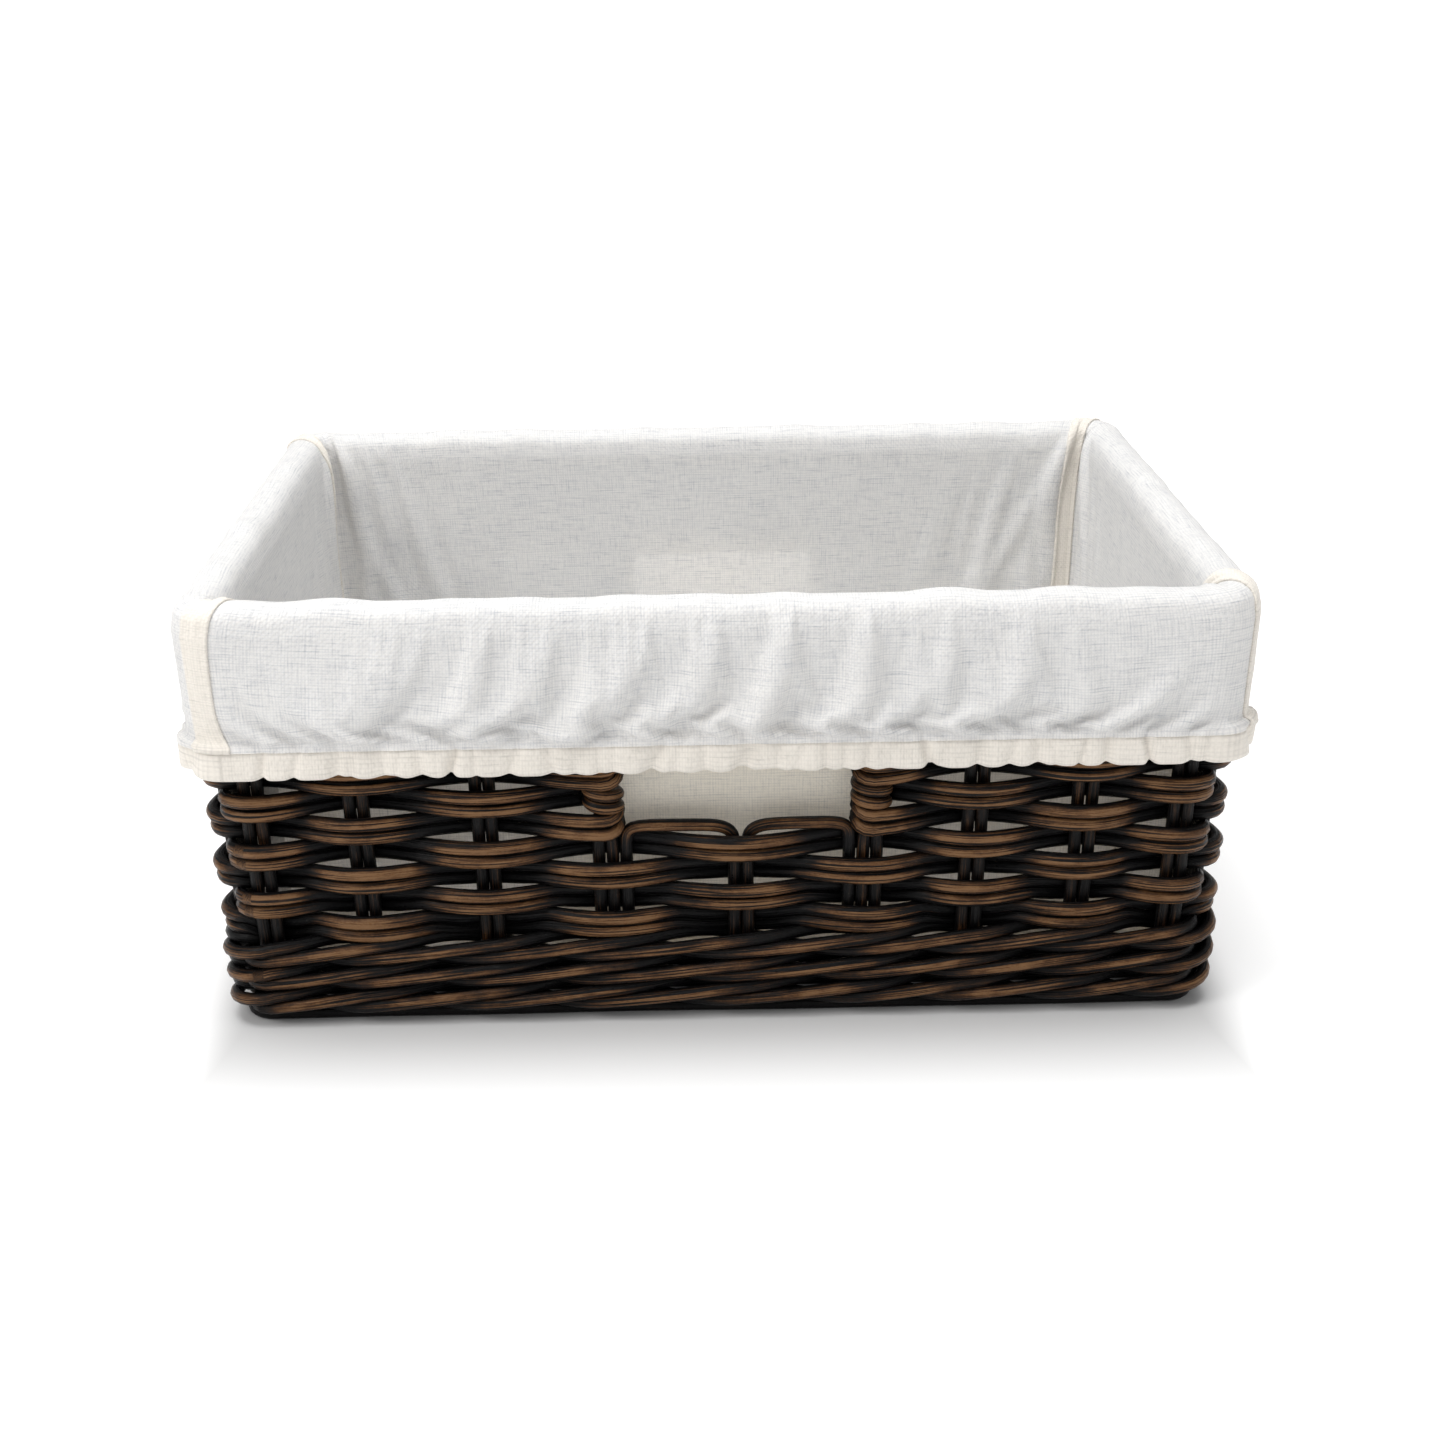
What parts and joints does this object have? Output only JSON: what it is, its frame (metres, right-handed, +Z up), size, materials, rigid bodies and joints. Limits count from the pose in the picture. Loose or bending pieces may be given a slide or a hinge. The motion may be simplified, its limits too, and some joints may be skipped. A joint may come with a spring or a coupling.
{
  "type": "woven laundry basket",
  "caption": "Rectangular woven rattan laundry basket with hand holes in the long walls and a lift-out cotton liner folded over the rim.",
  "frame": {"origin": "on the floor, under the centre of the overall box", "axes": "+X to the right along the long walls, +Y to the back wall, +Z up"},
  "size_m": [0.4466, 0.3266, 0.1912],
  "materials": {
    "rattan": "dark brown stained rattan reed, rubbed on its crests, satin lacquer",
    "dark_rattan": "nearly black stained rattan reed, satin lacquer",
    "cotton": "thin off-white plain-weave cotton, slightly translucent",
    "cotton_band": "doubled off-white cotton of the seam bands and hem",
    "elastic": "flat white elastic inside the hem"
  },
  "bodies": {
    "basket": {"base_foot_ring": "dark_rattan", "base_mat": "rattan", "cross_stake_01": "dark_rattan", "cross_stake_02": "dark_rattan", "cross_stake_03": "dark_rattan", "cross_stake_04": "dark_rattan", "cross_stake_05": "dark_rattan", "cross_stake_06": "dark_rattan", "cross_stake_07": "dark_rattan", "cross_stake_08": "dark_rattan", "cross_stake_09": "dark_rattan", "handle_arch_back_left": "rattan", "handle_arch_back_right": "rattan", "handle_arch_front_left": "rattan", "handle_arch_front_right": "rattan", "handle_post_wrap_back_left": "rattan", "handle_post_wrap_back_right": "rattan", "handle_post_wrap_front_left": "rattan", "handle_post_wrap_front_right": "rattan", "rim_border": "rattan", "side_stake_01": "dark_rattan", "side_stake_02": "dark_rattan", "side_stake_03": "dark_rattan", "side_stake_04": "dark_rattan", "side_stake_05": "dark_rattan", "side_stake_06": "dark_rattan", "side_stake_07": "dark_rattan", "wale_lower": "rattan", "wale_middle": "rattan", "wale_upper": "rattan", "weaver_row_01": "rattan", "weaver_row_02": "rattan", "weaver_row_03": "rattan", "weaver_row_04": "rattan", "weaver_row_05_left": "rattan", "weaver_row_05_right": "rattan", "weaver_row_06_left": "rattan", "weaver_row_06_right": "rattan", "weaver_row_07_left": "rattan", "weaver_row_07_right": "rattan", "weaver_row_08_left": "rattan", "weaver_row_08_right": "rattan", "weaver_row_09": "rattan", "weaver_row_10": "rattan", "weaver_row_11": "rattan", "weaver_row_12": "rattan"},
    "liner": {"liner_corner_band_back_left": "cotton_band", "liner_corner_band_back_right": "cotton_band", "liner_corner_band_front_left": "cotton_band", "liner_corner_band_front_right": "cotton_band", "liner_elastic": "elastic", "liner_floor": "cotton", "liner_hem_casing": "cotton_band", "liner_panel_back": "cotton", "liner_panel_front": "cotton", "liner_panel_left": "cotton", "liner_panel_right": "cotton"}
  },
  "joints": [
    {"name": "liner_lift", "type": "slide", "parent": "basket", "child": "liner", "axis": [0, 0, 1], "range_m": [0, 0.2]}
  ]
}
